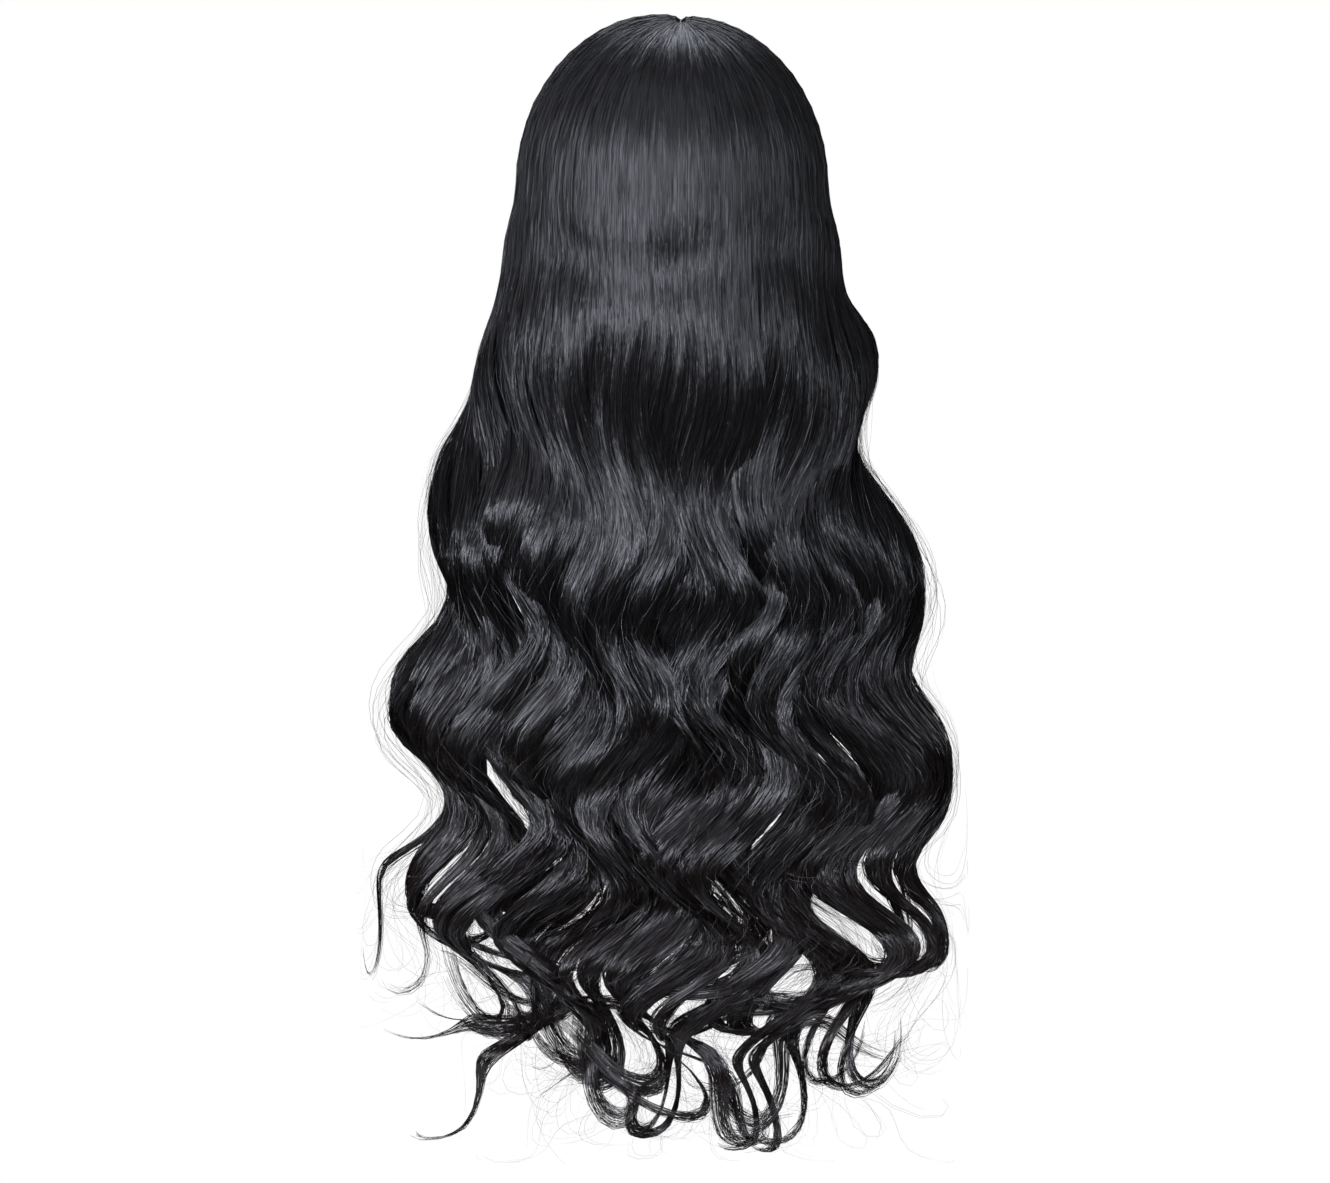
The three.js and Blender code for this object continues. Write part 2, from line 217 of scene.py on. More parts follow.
hair = {
    "depthTop": 6.5, "depthSide": 16.0,
    "partingShift": -5.0, "partingGap": 0.4, "partingEnd": 25.0, "partingFront": 58.0,
    "fanShare": 0.21,  # of the hair that fans out from the back end of the parting
    "fallLength": 563.0, "fallHalfWidth": 168.0,
    "swingWidth": 18.0, "swingDepth": 8.0,
    "swingFrom": 0.09, "swingGrowth": 0.85,  # the drop where the waves start, and how they grow
    "innerSwing": 0.35,  # how much wider the locks swing that aren't at the edges
    "edgeTurn": 3.2,  # how fast the oval turns past its edges, radians a share
    "dent": 6.5,  # depth of the hollow across the back
}

fallRows = [  # drop, spread, depth, back, edge
    (0, 0, 1, 0, 118), (0.057, 0.09, 1.045, 0, 115), (0.12, 0.15, 1.03, 0.03, 112),
    (0.185, 0.3, 0.952, 0.1, 107), (0.25, 0.42, 0.82, 0.23, 101), (0.345, 0.62, 0.64, 0.41, 92),
    (0.453, 0.76, 0.53, 0.54, 86), (0.6, 0.93, 0.48, 0.59, 84), (0.755, 1, 0.437, 0.6, 82),
    (0.9, 0.93, 0.4, 0.6, 80), (1, 0.79, 0.367, 0.6, 78),
]

waveRows = [  # drop, turns of the wave
    (0, -0.4), (0.098, 0), (0.345, 1), (0.551, 2), (0.745, 3), (0.92, 4), (1.0, 4.45), (1.1, 5),
]

swellRows = [  # drop, turns of the swell of the whole back
    (0, -0.45), (0.057, -0.25), (0.2, 0.22), (0.345, 0.75), (0.505, 1.75), (0.675, 2.75),
    (0.819, 3.75), (0.941, 4.75), (1.1, 6),
]

edgeRows = [  # drop, how far the left and right outline stand off the even waves, mm
    (0.1, 0, 0), (0.121, 0, -2), (0.153, 0, -9), (0.185, 0, -6), (0.217, 3, 2), (0.249, 7, 15),
    (0.281, 11, 15), (0.313, 9, 4), (0.345, 4, -3), (0.41, 0, -3), (0.5, 6, 0), (0.6, 4, -6),
    (0.664, -8, -3), (0.72, -8, 0), (0.8, 0, 0),
]

tressRows = [  # start of the wave, reach of the tip, way the tip curls, from the wearer's left
    (0, 0.86, 0.7), (0.08, 0.82, -0.6), (0.16, 0.9, -0.9), (0.24, 0.93, 0.8),
    (0.33, 0.96, -0.8), (0.42, 0.98, 0.9), (0.52, 1, 0.6), (0.62, 0.97, -0.7),
    (0.72, 1, -0.9), (0.8, 0.98, 0.8), (0.86, 0.96, -0.6), (0.9, 0.94, 0.9),
    (0.92, 0.95, -0.8), (0.92, 0.92, 0.7), (0.9, 0.88, 0.8), (0.87, 0.84, -0.7),
]
tressCount = len(tressRows)


def smoothCurve(keys, values, flatStart=False):
    # a curve through the rows that overshoots little between them
    keys, values = np.array(keys, float), np.array(values, float)
    steps = np.diff(keys)
    slopes = np.diff(values) / steps
    lean = np.empty_like(values)
    lean[1:-1] = (slopes[:-1] * steps[1:] + slopes[1:] * steps[:-1]) / (steps[:-1] + steps[1:])
    lean[0], lean[-1] = 0 if flatStart else slopes[0], slopes[-1]

    def at(x):
        x = np.clip(x, keys[0], keys[-1])
        i = np.clip(np.searchsorted(keys, x) - 1, 0, len(keys) - 2)
        t = (x - keys[i]) / steps[i]
        return ((1 + 2 * t) * (1 - t) ** 2 * values[i] + t * (1 - t) ** 2 * steps[i] * lean[i]
                + t * t * (3 - 2 * t) * values[i + 1] + t * t * (t - 1) * steps[i] * lean[i + 1])
    return at


def smoothStep(x, low, high):
    t = np.clip((x - low) / (high - low), 0, 1)
    return t * t * (3 - 2 * t)


def columnCurve(rows, column, flatStart=False):
    return smoothCurve([row[0] for row in rows], [row[column] for row in rows], flatStart)


spreadAt, depthAt, backAt, edgeAt = [columnCurve(fallRows, k, True) for k in (1, 2, 3, 4)]
turnsAt = columnCurve(waveRows, 1)
swellAt = columnCurve(swellRows, 1)
leftEdgeAt, rightEdgeAt = [columnCurve(edgeRows, k) for k in (1, 2)]
phaseAt = smoothCurve([(i + 0.5) / tressCount for i in range(tressCount)], [row[0] for row in tressRows])
outerHalfWidth = head["halfBreadth"] + head["capWall"] + hair["depthSide"]
outerHalfDepth = head["halfLength"] + head["capWall"] + hair["depthSide"]


def ovalWidth(drop):
    return outerHalfWidth + (hair["fallHalfWidth"] - outerHalfWidth) * spreadAt(drop)


def ovalDepth(drop):
    return outerHalfDepth * depthAt(drop)


# angle round the oval by share of its length, looked up on a grid of drops and shares
gridDrops, gridShares = np.linspace(0, 1.1, 221), np.linspace(0, 1, 161)
ovalSteps = 721


def makeAngleGrid():
    grid = np.empty((len(gridDrops), len(gridShares)))
    for k, drop in enumerate(gridDrops):
        edge = math.radians(float(edgeAt(drop)))
        angle = np.linspace(edge, -edge, ovalSteps)
        x, y = ovalWidth(drop) * np.sin(angle), ovalDepth(drop) * np.cos(angle)
        length = np.concatenate([[0], np.cumsum(np.hypot(np.diff(x), np.diff(y)))])
        grid[k] = np.interp(gridShares * length[-1], length, angle)
    return grid


angleGrid = makeAngleGrid()


def ovalAngle(share, drop):
    inside = np.clip(share, 0, 1)
    row = np.clip(drop / gridDrops[1], 0, len(gridDrops) - 1.001)
    column = np.clip(inside / gridShares[1], 0, len(gridShares) - 1.001)
    i, j = row.astype(int), column.astype(int)
    down, aside = row - i, column - j
    low = angleGrid[i, j] * (1 - aside) + angleGrid[i, j + 1] * aside
    high = angleGrid[i + 1, j] * (1 - aside) + angleGrid[i + 1, j + 1] * aside
    return low * (1 - down) + high * down - (share - inside) * hair["edgeTurn"]


def rootXY(share):
    # where the hair leaves the cap: along the parting, and round its back end
    front = -head["halfLength"] * math.sin(math.radians(hair["partingFront"]))
    side = np.where(share < 0.5, 1.0, -1.0)
    away = np.abs(share - 0.5)
    half = hair["partingGap"] / 2
    along = np.clip((away - hair["fanShare"]) / (0.5 - hair["fanShare"]), 0, 1.05)
    turn = np.clip(away / hair["fanShare"], 0, 1) * math.pi / 2
    x = hair["partingShift"] + side * half * np.sin(turn)
    y = hair["partingEnd"] + half * np.cos(turn) + (front - hair["partingEnd"]) * along
    return x, y


def billowAt(share, drop, phaseShift):
    # the whole back swells out over the head and the shoulders, then in ever shorter waves,
    # which differ more and more from lock to lock
    mixed = 0.35 * smoothStep(drop, 0.08, 0.2) + 0.65 * smoothStep(drop, 0.28, 0.5)
    grown = smoothStep(drop, 0.06, 0.24)
    calm = 1 - 0.3 * smoothStep(drop, 0.28, 0.42) + 0.5 * smoothStep(drop, 0.45, 0.75)
    turns = swellAt(drop) - mixed * (2 * phaseShift + 0.2 * np.sin(share * 11 + drop * 7))
    return hair["swingDepth"] * grown * calm * np.cos(2 * np.pi * turns)


def dentAt(share, drop):
    # a shallow hollow under the widest level of the head, which parts the upper sheen in two
    middle = 0.078 + 0.012 * np.sin(17 * share)
    half = 0.055
    bell = smoothStep(drop, middle - half, middle) * (1 - smoothStep(drop, middle, middle + half))
    back = smoothStep(share, 0.14, 0.32) * (1 - smoothStep(share, 0.68, 0.86))
    return hair["dent"] * (0.8 + 0.3 * np.sin(38 * share + 1)) * bell * back


def hairPoint(share, way, depth, swingScale=1.0, phaseShift=0.0, billowShift=0.0):
    # way runs from -1 at the parting over the head to 0 at its widest level, and on to 1 at the tips
    share, way, depth = np.broadcast_arrays(share, way, depth)
    drop = np.maximum(way, 0)
    depth = depth + dentAt(share, drop)
    angle = ovalAngle(share, drop)
    outX, outY = np.sin(angle), np.cos(angle)
    reach = np.sin((1 + np.minimum(way, 0)) * math.pi / 2)
    rootX, rootY = rootXY(share)
    rootX, rootY = rootX / head["halfBreadth"], rootY / head["halfLength"]
    flatX, flatY = rootX + (outX - rootX) * reach, rootY + (outY - rootY) * reach
    rise = np.sqrt(np.maximum(0, 1 - flatX ** 2 - flatY ** 2))
    outer = hair["depthTop"] + (hair["depthSide"] - hair["depthTop"]) * reach
    offset = head["capWall"] + np.maximum(outer - depth, 0.6)
    crown = np.stack([
        flatX * (head["halfBreadth"] + offset), flatY * (head["halfLength"] + offset),
        -head["crownHeight"] + rise * (head["crownHeight"] + offset)], -1)
    grown = np.clip((drop - hair["swingFrom"]) / (1 - hair["swingFrom"]), 0, None) ** hair["swingGrowth"]
    inner = 1 + hair["innerSwing"] * smoothStep(share, 0.03, 0.17) * smoothStep(-share, -0.97, -0.83)
    swing = hair["swingWidth"] * grown * inner * swingScale * np.cos(
        2 * np.pi * (turnsAt(drop) - phaseAt(share) - phaseShift))
    edge = leftEdgeAt(drop) * smoothStep(-share, -0.2, -0.04)
    edge = edge + rightEdgeAt(drop) * smoothStep(share, 0.8, 0.96)
    fall = np.stack([
        outX * (ovalWidth(drop) - depth) + swing + edge,
        head["halfLength"] * backAt(drop) + outY * (ovalDepth(drop) - depth)
        + billowAt(share, drop, billowShift) * (0.75 + 0.25 * swingScale),
        -head["crownHeight"] - hair["fallLength"] * drop], -1)
    return np.where((way < 0)[..., None], crown, fall)


def unit(v):
    return v / np.maximum(np.linalg.norm(v, axis=-1, keepdims=True), 1e-9)


# levels down every strand: over the head, down the smooth part, the waves, and closer in the curls
crownLevels = np.concatenate([[-1, -0.975], np.linspace(-0.94, -0.075, 13)])
fallLevels = np.concatenate([
    np.arange(0, 0.29, 0.022), np.linspace(0.31, 0.8, 22), np.linspace(0.82, 1, 17)])

lockLook = {
    "seed": 7,
    "locks": 3,  # in one tress
    "strands": 104,  # on one lock
    "half": (0.02, 0.034),  # half width as a share of the fall
    "thick": (4.5, 7.5),  # half thickness, mm
    "depth": 7.0,  # how deep one tress may lie under the next, mm
    # how deep a lock lies in its tress, mm: at least, times its place squared, and by chance
    "below": (4.0, 24.0, 6.0),
    "swing": (0.75, 1.3),
    "ownSwing": (0.93, 1.07),
    "growth": (-0.1, 0.35),  # how much wider the last wave swings
    "phase": (0.12, 0.055),  # from tress to tress and from lock to lock, turns
    "billow": 0.02,
    "aside": 0.003,
    "cross": 0.016,  # how far a lock strays over its neighbours, as a share of the fall
    "crossAt": (0.42, 0.6),
    "roll": (0.3, 0.65),  # how far a lock turns about its own length in each wave
    "reach": (0.98, 1.08), "ownReach": (0.97, 1.03),
    "longer": 0.03, "longTresses": (4, 10, 11, 12, 13),
    "curl": (85, 170),  # degrees
    "curlStart": (0.82, 0.9),
    "lean": 0.2,  # of the plane that a tip curls in, radians
    "width": (0.4, 0.7),  # of a strand's ribbon, mm
    "tilt": 0.22,  # of a ribbon about its own length, radians
    "double": 0.35,  # share of the locks that end in two tufts
}

# the tresses beside the face lie closer to each other and keep their outline
edgeLook = {
    "tresses": (0, 1, 14, 15), "phase": 0.02, "depth": 2, "curl": 0.7, "cross": 0.3,
    "slim": 0.4, "apart": 0.5, "wide": 1.2, "wideTresses": (0, 1, 2, 13, 14, 15),
}
innerLook = {"slim": 0.0, "apart": -0.65}

tuftLook = {
    "edge": 0.08,  # how unevenly the tufts share out their lock
    "ownWay": 0.12,  # share of the tufts that curl another way than their lock
    "curl": (0.85, 1.2), "tip": (0.96, 1.02),  # shares of the lock's
    "curlStart": 0.012, "lean": 0.1,
    "fan": (0.0, 0.8), "drift": 0.007, "deep": 2.0, "phase": 0.02,
}

anyPhase = (0, 6.28)  # radians


def makeTufts(rng, lock, count):
    look = tuftLook
    even = np.linspace(-1, 1, count + 1)[1:-1]
    edges = np.concatenate([[-1], np.sort(rng.normal(0, look["edge"], count - 1) + even), [1]])
    tufts = []
    for k in range(count):
        if rng.random() < look["ownWay"]:
            curl = rng.choice([-1, 1]) * rng.uniform(*lockLook["curl"])
        else:
            curl = lock["curl"] * rng.uniform(*look["curl"])
        tufts.append({
            "from": edges[k], "to": edges[k + 1], "place": (edges[k] + edges[k + 1]) / 2,
            "fan": rng.uniform(*look["fan"]), "drift": rng.normal(0, look["drift"]),
            "deep": rng.normal(0, look["deep"]), "phase": rng.normal(0, look["phase"]),
            "tip": lock["tip"] * rng.uniform(*look["tip"]), "curl": math.radians(curl),
            "curlStart": lock["curlStart"] + rng.normal(0, look["curlStart"]),
            "lean": lock["lean"] + rng.normal(0, look["lean"]),
        })
    return tufts


turnBackRows = [  # axis, side, where loose ends start to turn back and the room beyond it, mm
    (0, 1, 168, 24), (0, -1, 156, 22), (1, 1, 119, 14), (2, -1, 655, 26),
]


def heldInside(points):
    # loose ends turn back before they leave the space that the wig takes
    for axis, side, low, room in turnBackRows:
        beyond = np.maximum(side * points[..., axis] - low, 0)
        points[..., axis] -= side * (beyond - room * (1 - np.exp(-beyond / room)))
    return points


def curlSide(tress):
    # the ends beside the face turn inwards, the others as the table says
    if tress in edgeLook["tresses"]:
        return 1 if tress < tressCount / 2 else -1
    return -math.copysign(1, tressRows[tress][2])


def makeBundle(rng, tress):
    # what the locks of one tress have in common
    look = lockLook
    outer = tress in edgeLook["tresses"]
    return {
        "phase": rng.normal(0, edgeLook["phase"] if outer else look["phase"][0]),
        "swing": rng.uniform(*look["swing"]), "growth": rng.uniform(*look["growth"]),
        "deep": rng.uniform(0, edgeLook["depth"] if outer else look["depth"]),
        "reach": rng.uniform(*look["reach"]) + (look["longer"] if tress in look["longTresses"] else 0),
        "curl": curlSide(tress) * rng.uniform(*look["curl"]) * (edgeLook["curl"] if outer else 1),
        "curlStart": rng.uniform(*look["curlStart"]), "lean": rng.normal(0, look["lean"]),
    }


def makeLock(rng, tress, place, tip, bundle, base=0.0):
    # place is the lock's own in its tress, from -0.5 to 0.5
    look = lockLook
    outer = tress in edgeLook["tresses"]
    least, atSides, byChance = look["below"]
    lock = {
        "crownShare": (tress + 0.5 + place) / tressCount, "crownHalf": 0.5 / tressCount / look["locks"],
        "base": base, "middle": (tress + 0.5) / tressCount,
        "aside": (place * 0.95) / tressCount + rng.normal(0, look["aside"]),
        "cross": rng.normal(0, look["cross"]) * (edgeLook["cross"] if outer else 1),
        "crossAt": rng.uniform(*look["crossAt"]),
        "half": rng.uniform(*look["half"]) * (edgeLook["wide"] if tress in edgeLook["wideTresses"] else 1),
        "thick": rng.uniform(*look["thick"]), "roll": rng.choice([-1, 1]) * rng.uniform(*look["roll"]),
        "rollPhase": rng.uniform(*anyPhase),
        "depth": base + least + bundle["deep"] + atSides * place ** 2 + rng.uniform(0, byChance),
        "swing": bundle["swing"] * rng.uniform(*look["ownSwing"]),
        "phase": bundle["phase"] + rng.normal(0, look["phase"][1]),
        "billow": bundle["phase"] + rng.normal(0, look["billow"]),
        "tip": tip * bundle["reach"] * rng.uniform(*look["ownReach"]), "common": bundle["phase"],
    }
    kind = edgeLook if outer else innerLook
    lock.update(slim=kind["slim"], apart=kind["apart"])
    lock.update({key: bundle[key] for key in ("growth", "curl", "curlStart", "lean")})
    return lock


def hugAt(share, way):
    # the front edge of the hair lies close on the lace, mm
    edge = smoothStep(-share, -0.07, -0.01) + smoothStep(share, 0.93, 0.99)
    return 0.45 * (hair["depthTop"] + (hair["depthSide"] - hair["depthTop"]) * np.clip(1 + way, 0, 1)) * edge


plainTuft = {"place": 0, "fan": 0, "drift": 0, "deep": 0, "phase": 0, "curl": 0, "curlStart": 0.9, "lean": 0}

leafDepth = 0.9  # mm, half of the hair's own thickness over the head
fallSpan = 350  # mm round the fall for one share, to turn a lock's width into depth as it rolls


def lockPoints(lock, tuft, u, b, way, wander=0.0, ripple=0.0):
    # u runs across the lock and b through it, each from -1 to 1
    drop = np.maximum(way, 0)
    t = drop / tuft["tip"]
    gather = smoothStep(drop, 0.1, 0.45)
    split = smoothStep(t, 0.7, 0.98)
    a = tuft["place"] * (1 + 1.2 * split * tuft["fan"]) + (u - tuft["place"]) * (1 - 0.4 * split)
    half = lock["half"] * (1 - 0.2 * smoothStep(t, 0.5, 0.8)) * (1 - lock["slim"] * smoothStep(t, 0.66, 0.9))
    aside = lock["aside"] * (1 + lock["apart"] * smoothStep(t, 0.5, 0.85))
    aside = aside + lock["cross"] * smoothStep(t, lock["crossAt"], lock["crossAt"] + 0.35)
    share = lock["crownShare"] + (lock["middle"] + aside - lock["crownShare"]) * gather
    share = share + (1 - gather) * u * lock["crownHalf"] + gather * a * half + tuft["drift"] * split + wander
    roll = lock["roll"] * np.sin(2 * np.pi * turnsAt(drop) + lock["rollPhase"])
    root = 2.0 * np.clip((-way - 0.97) / 0.03, 0, 1) + hugAt(share, way)
    deep = lock["depth"] - b * lock["thick"] * (1 - 0.45 * split) + a * half * fallSpan * roll
    deep = deep + tuft["deep"] * split
    sink = smoothStep(drop, 0.16, 0.55)
    depth = (1 - sink) * (lock["base"] + leafDepth - leafDepth * b + root) + sink * deep + ripple
    swing = lock["swing"] * (1 + lock["growth"] * smoothStep(t, 0.55, 1))
    meet = 0.75 * smoothStep(t, 0.6, 0.86)
    stray = tuft["phase"] * smoothStep(t, 0.55, 0.95)
    phase = lock["phase"] + (lock["common"] - lock["phase"]) * meet + stray
    return hairPoint(share, way, depth, swing, phase, lock["billow"] + stray)


def bendTip(lock, tuft, points, way):
    # the end of a tuft turns as one into its curl
    grid = np.linspace(0, 1.08, 160)
    centre = lockPoints(lock, tuft, tuft["place"], 0.0, grid * tuft["tip"])
    angle = tuft["curl"] * np.clip((grid - tuft["curlStart"]) / (1 - tuft["curlStart"]), 0, 1.2) ** 1.4
    axis = np.array([math.sin(tuft["lean"]), math.cos(tuft["lean"]), 0])

    def turned(v, turn):
        cosine, sine = np.cos(turn)[..., None], np.sin(turn)[..., None]
        beside = np.cross(np.broadcast_to(axis, v.shape), v)
        return v * cosine + beside * sine + axis * (v @ axis)[..., None] * (1 - cosine)

    steps = np.diff(centre, axis=0)
    bent = np.concatenate([centre[:1], centre[0] + np.cumsum(turned(steps, angle[1:]), 0)])
    t = np.maximum(way, 0) / tuft["tip"]
    at = [np.stack([np.interp(t, grid, path[:, k]) for k in range(3)], -1) for path in (centre, bent)]
    out = at[1] + turned(points - at[0], np.interp(t, grid, angle))
    return heldInside(np.where((t > tuft["curlStart"])[..., None], out, points))


strandLook = {
    "front": 0.74,  # share of the strands that lie on the outside of their tuft
    "frontPlace": (0.75, 1.0), "backPlace": (-1, 0.3),  # through the tuft
    "shorter": 0.14, "tip": (0.975, 1.025),
    "strays": (0.05, 4.0),  # share of strands that stray, and how much further
    "stray": 0.002,  # how far, as a share of the fall
    "ripple": 0.32,  # mm
    "crownScale": 0.2,  # of the map's length over the head to that of the fall
}


def tuftStrands(rng, lock, tuft, count, start, loose=0.0):
    # middle lines, sideways directions and normals of the strands of one tuft, side by side
    look = strandLook
    spots = np.sort(rng.permutation(count) + rng.random(count)) / count
    u = tuft["from"] + (tuft["to"] - tuft["from"]) * spots
    front = rng.random(count) < look["front"]
    outside, inside = rng.uniform(*look["frontPlace"], count), rng.uniform(*look["backPlace"], count)
    b = np.sqrt(np.clip(1 - u ** 2, 0.04, 1)) * np.where(front, outside, inside)
    u, b = u[:, None], b[:, None]
    tips = tuft["tip"] * (1 - rng.random(count) ** 3 * look["shorter"]) * rng.uniform(*look["tip"], count)
    top = max(start, 0)
    way = top + (tips[:, None] - top) * fallLevels
    if start < 0:
        way = np.concatenate([np.broadcast_to(crownLevels, (count, len(crownLevels))), way], 1)
    drop = np.maximum(way, 0)
    strayShare, strayScale = look["strays"]
    size = np.where(rng.random(count) < strayShare, strayScale, 1.0)[:, None] * (1 + loose)
    waveA, waveB, waveC = rng.uniform(*anyPhase, (3, count, 1))
    stray = np.sin(drop * 17 + waveA) + 0.5 * np.sin(drop * 41 + waveB) + 0.25 * np.sin(drop * 90 + waveC)
    stray = stray * look["stray"] * size * (0.12 + smoothStep(drop, 0.05, 0.5))
    ripple = look["ripple"] * (np.sin(way * 61 + waveB) + np.sin(way * 97 + waveC) * 0.6)
    points = bendTip(lock, tuft, lockPoints(lock, tuft, u, b, way, stray, ripple), way)
    beside = bendTip(lock, tuft, lockPoints(lock, tuft, u + 0.04, b, way, stray, ripple), way)
    side = unit(beside - points)
    along = unit(np.gradient(points, axis=1))
    normal = unit(np.cross(side, along))
    side = np.cross(along, normal)
    t = np.where(way < 0, way * look["crownScale"], drop / tips[:, None])
    return points, side, normal, t, size[:, 0]


def ribbonMesh(rng, points, side, normal, t, width, tilt, first):
    # a thin ribbon along each strand, turned a little about its own length
    n, m = points.shape[:2]
    turn = rng.normal(0, tilt, n)[:, None] + 0.12 * np.sin(t * 9 + rng.uniform(*anyPhase, (n, 1)))
    turn = turn[..., None]
    side = side * np.cos(turn) + normal * np.sin(turn)
    taper = 1 - 0.7 * np.clip((t - 0.75) / 0.25, 0, 1) ** 2
    half = side * (width[:, None] * taper / 2)[..., None]
    verts = np.stack([points - half, points + half], 2).reshape(-1, 3)
    base = (np.arange(n)[:, None] * m + np.arange(m - 1)[None]).ravel() * 2
    faces = np.stack([base, base + 1, base + 3, base + 2], -1)
    number = np.repeat(first + np.arange(n), m)
    u = np.stack([number + 0.1, number + 0.9], -1).ravel()
    v = np.repeat(t.ravel(), 2)
    return verts, faces, np.stack([u, v], -1)


def tubeMesh(rings):
    # closed tube through rings of levels x corners x 3
    m, n = rings.shape[:2]
    i, j = np.meshgrid(np.arange(m - 1), np.arange(n), indexing="ij")
    i, j = i.ravel(), j.ravel()
    k = (j + 1) % n
    sides = np.stack([i * n + j, i * n + k, (i + 1) * n + k, (i + 1) * n + j], -1)
    verts = np.concatenate([rings.reshape(-1, 3), rings[[0, -1]].mean(1)])
    u = np.concatenate([np.tile(np.arange(n) / n * 4, m), [0, 0]])
    v = np.concatenate([np.repeat(np.linspace(0, 1, m), n), [0, 1]])
    c = np.arange(n)
    d = (c + 1) % n
    top = np.full(n, m * n)
    last = (m - 1) * n
    upper = np.stack([d, c, top, top], -1)
    lower = np.stack([last + c, last + d, top + 1, top + 1], -1)
    return verts, np.concatenate([sides, upper, lower]), np.stack([u, v], -1)


triangles = []


def buildMesh(name, parts, materials):
    # joins arrays of corners, faces and UVs into one object; parts are (verts, faces, uv, slot),
    # and a face with its last corner twice is a triangle
    verts = np.concatenate([p[0] for p in parts]) / 1000
    offsets = np.cumsum([0] + [len(p[0]) for p in parts[:-1]])
    faces = np.concatenate([p[1] + o for p, o in zip(parts, offsets)])
    uv = np.concatenate([p[2] for p in parts])
    slot = np.concatenate([np.full(len(p[1]), p[3]) for p in parts])
    isTri = faces[:, 2] == faces[:, 3]
    sizes = np.where(isTri, 3, 4)
    starts = np.concatenate([[0], np.cumsum(sizes)[:-1]])
    keep = np.ones(faces.shape, bool)
    keep[isTri, 3] = False
    corners = faces[keep]
    mesh = bpy.data.meshes.new(name)
    mesh.vertices.add(len(verts))
    mesh.vertices.foreach_set("co", verts.ravel().astype(np.float32))
    mesh.loops.add(len(corners))
    mesh.loops.foreach_set("vertex_index", corners.astype(np.int32))
    mesh.polygons.add(len(faces))
    mesh.polygons.foreach_set("loop_start", starts.astype(np.int32))
    mesh.polygons.foreach_set("material_index", slot.astype(np.int32))
    mesh.polygons.foreach_set("use_smooth", np.ones(len(faces), bool))
    layer = mesh.uv_layers.new(name="strand")
    layer.data.foreach_set("uv", uv[corners].ravel().astype(np.float32))
    mesh.update(calc_edges=True)
    mesh.validate()
    for material in materials:
        mesh.materials.append(material)
    obj = bpy.data.objects.new(name, mesh)
    bpy.context.collection.objects.link(obj)
    triangles.append(int((sizes - 2).sum()))
    return obj


fibreSlot, massSlot = 0, 1
lockCoreLook = {"size": 0.8, "low": 0.25, "high": 0.82, "closing": 0.55, "corners": 8, "rings": 34}
tuftCoreLook = {"size": 0.8, "low": 0.5, "high": 0.97, "closing": 0.8, "corners": 6, "rings": 24}


def lockCore(lock, tuft, look, size, low):
    # dark inside of a lock or tuft, closed, so that no light comes through it
    t = np.linspace(low, look["high"], look["rings"])
    around = np.linspace(0, 2 * math.pi, look["corners"], endpoint=False)
    fill = 1 - 0.92 * smoothStep(t, look["closing"], look["high"])
    fill = fill * smoothStep(t, low, low + 0.1)
    u = tuft["place"] + size * np.cos(around)[:, None] * fill
    b = 0.8 * np.sin(around)[:, None] * fill
    way = np.broadcast_to(t * tuft["tip"], u.shape)
    points = bendTip(lock, tuft, lockPoints(lock, tuft, u, b, way), way)
    return tubeMesh(points.transpose(1, 0, 2)) + (massSlot,)


def tressCore(tress, bundle):
    # the closed body of hair under the strands, from the parting to the shoulders
    way = np.concatenate([np.linspace(-0.985, 0, 14), np.linspace(0.03, 0.7, 28)])[:, None]
    angle = np.linspace(0, 2 * math.pi, 12, endpoint=False)[None]
    across = np.sign(np.cos(angle)) * np.abs(np.cos(angle)) ** 0.5
    through = np.sign(np.sin(angle)) * np.abs(np.sin(angle)) ** 0.5
    drop = np.maximum(way, 0)
    thin = 1 - smoothStep(drop, 0.5, 0.7) * 0.9
    half = (0.515 + 0.16 * smoothStep(drop, 0.1, 0.4)) / tressCount * thin
    outer = 2.1 + 1.6 * smoothStep(drop, 0, 0.12) + 7 * smoothStep(drop, 0.1, 0.4)
    outer = outer + 9 * smoothStep(drop, 0.35, 0.55)
    inner = outer + 2.7 + 2.5 * smoothStep(drop, 0, 0.2)
    mid, deep = (outer + inner) / 2, (inner - outer) / 2 * thin
    share = (tress + 0.5) / tressCount + across * half
    mid = mid + hugAt(share, way) * (1 - smoothStep(drop, 0.05, 0.4))
    follow = bundle["phase"] * smoothStep(drop, 0.1, 0.4)
    rings = hairPoint(share, np.broadcast_to(way, share.shape), mid + through * deep, 1.0, follow, follow)
    return tubeMesh(rings) + (massSlot,)


def addLock(parts, rng, lock, tuftCount, strands, start, first):
    # first is the number of the lock's first strand
    whole = dict(plainTuft, tip=lock["tip"])
    low = max(start, lockCoreLook["low"]) / lock["tip"]
    parts.append(lockCore(lock, whole, lockCoreLook, lockCoreLook["size"], low))
    for tuft in makeTufts(rng, lock, tuftCount):
        span = (tuft["to"] - tuft["from"]) / 2
        parts.append(lockCore(lock, tuft, tuftCoreLook, span * tuftCoreLook["size"], tuftCoreLook["low"]))
        count = max(8, int(round(strands * span)))
        points, side, normal, t, size = tuftStrands(rng, lock, tuft, count, start)
        width = rng.uniform(*lockLook["width"], count) * np.where(size > 1, 0.45, 1.0)
        ribbons = ribbonMesh(rng, points, side, normal, t, width, lockLook["tilt"], first)
        parts.append(ribbons + (fibreSlot,))
        first += count
    return first


